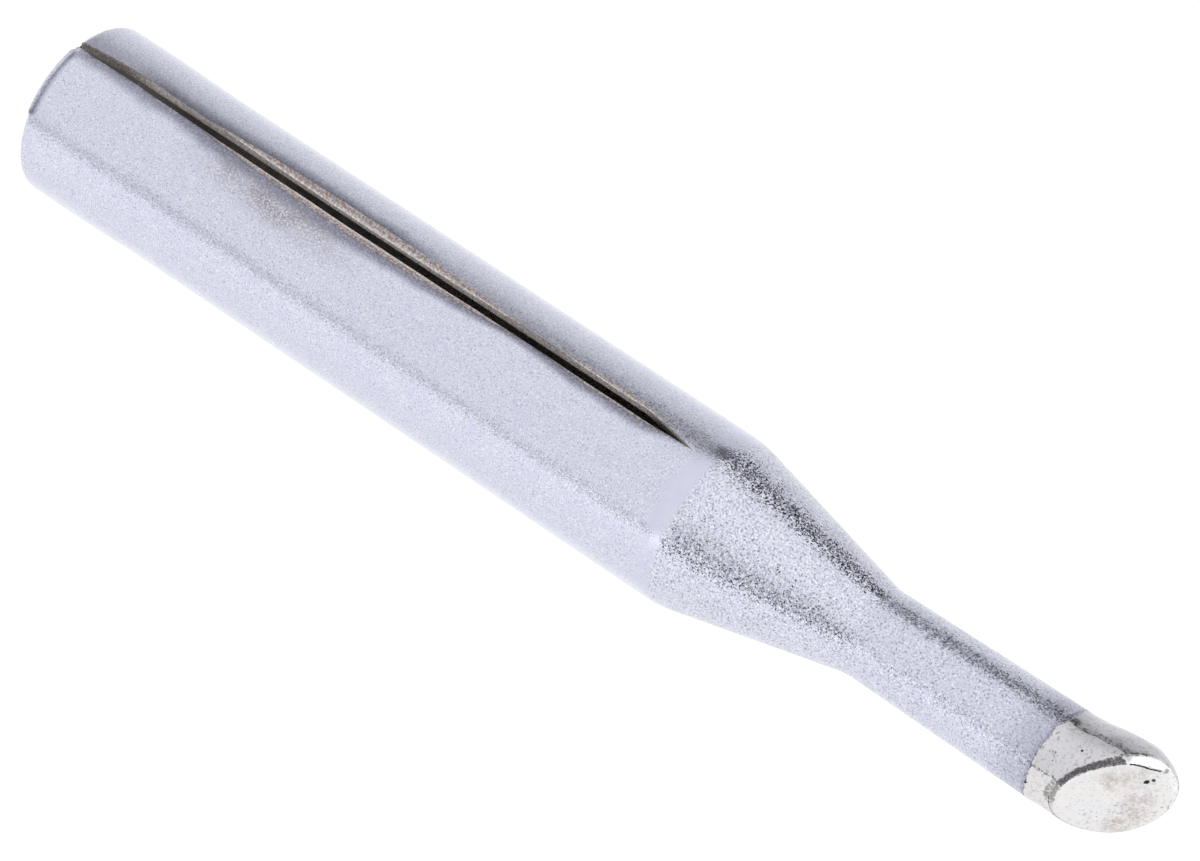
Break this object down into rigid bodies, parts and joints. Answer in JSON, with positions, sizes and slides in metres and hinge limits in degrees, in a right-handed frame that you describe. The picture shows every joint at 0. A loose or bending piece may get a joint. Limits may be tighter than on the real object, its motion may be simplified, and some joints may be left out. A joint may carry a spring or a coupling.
{
  "type": "soldering iron tip",
  "caption": "Slide-on soldering iron bit: slit sleeve for the heater, cone, slender shank and a tinned nose with a bevelled face.",
  "frame": {"origin": "centre of the rear ring, where the bit stands on its open end", "axes": "+Z along the bit's axis from the open rear end to the nose; the slit lies on the -X side and the bevelled face looks towards -Y and up"},
  "size_m": [0.0058, 0.0058, 0.0403],
  "materials": {
    "plating": "satin nickel and chromium plate over copper, fine sparkling grain",
    "tinning": "worn solder coat, matt on the face with glossy patches"
  },
  "bodies": {
    "root": {"soldering_bit": "plating"}
  },
  "joints": []
}
